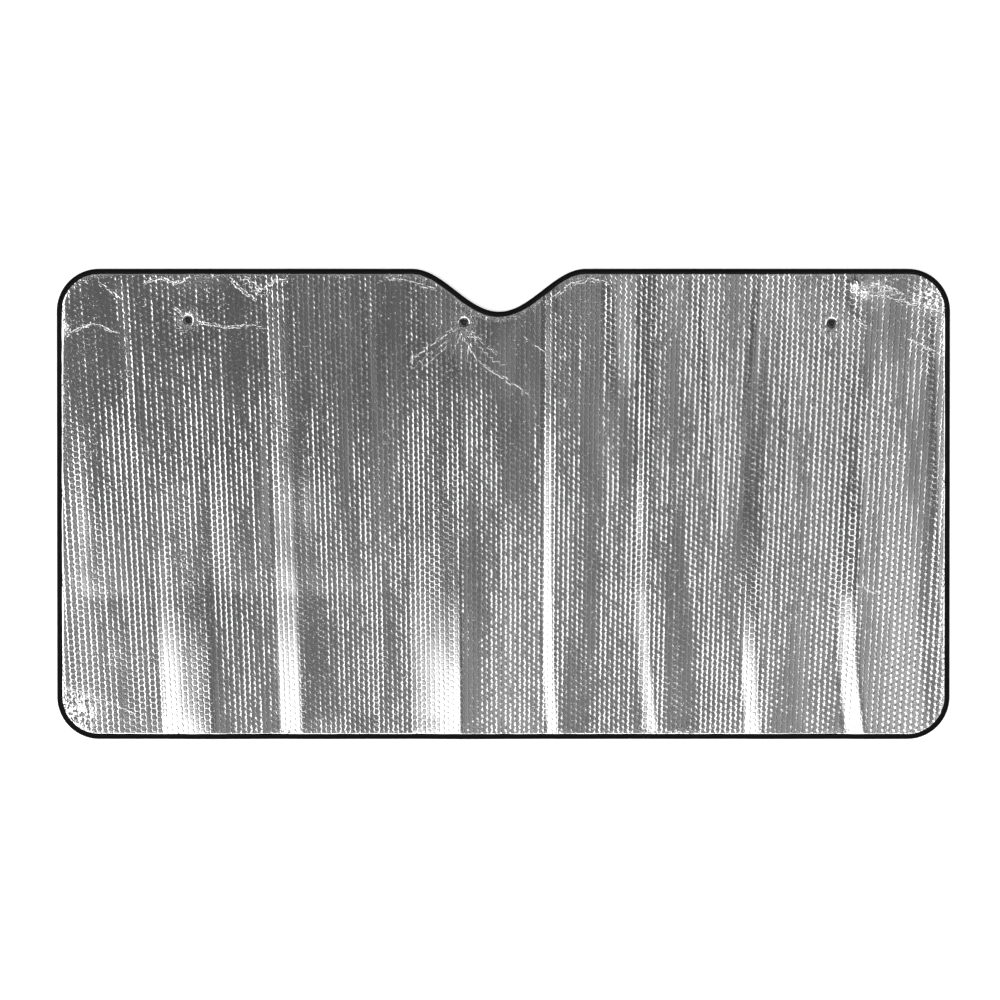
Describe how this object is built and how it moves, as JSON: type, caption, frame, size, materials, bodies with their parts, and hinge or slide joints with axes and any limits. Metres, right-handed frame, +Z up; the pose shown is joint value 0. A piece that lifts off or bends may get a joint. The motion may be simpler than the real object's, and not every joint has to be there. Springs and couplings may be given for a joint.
{
  "type": "windscreen sunshade",
  "caption": "Flat bubble foil windscreen sunshade with a mirror notch in its top edge, a folded tape binding and suction cups pressed into punched holes.",
  "frame": {"origin": "on the surface that the sunshade lies on, under the middle of its length and height", "axes": "+X along the length, to the right as seen from the cabin side; +Y towards the edge with the mirror notch; +Z up, out of the cabin side"},
  "size_m": [1.5, 0.79, 0.0195],
  "materials": {
    "bubble_foil": "aluminium foil bonded to bubble film, crinkled, bright",
    "binding_tape": "black woven tape, sewn, with a soft sheen",
    "smoked_vinyl": "soft vinyl tinted nearly black, smooth moulded"
  },
  "bodies": {
    "sheet": {"bubble_foil_panel": "bubble_foil", "edge_binding": "binding_tape"},
    "left_cup": {"suction_cup_left": "smoked_vinyl"},
    "centre_cup": {"suction_cup_centre": "smoked_vinyl"},
    "right_cup": {"suction_cup_right": "smoked_vinyl"}
  },
  "joints": [
    {"name": "left_cup_turn", "type": "hinge", "parent": "sheet", "child": "left_cup", "pos_m": [-0.53, 0.308, 0], "axis": [0, 0, 1], "continuous": true},
    {"name": "centre_cup_turn", "type": "hinge", "parent": "sheet", "child": "centre_cup", "pos_m": [-0.0665, 0.304, 0], "axis": [0, 0, 1], "continuous": true},
    {"name": "right_cup_turn", "type": "hinge", "parent": "sheet", "child": "right_cup", "pos_m": [0.551, 0.303, 0], "axis": [0, 0, 1], "continuous": true}
  ]
}
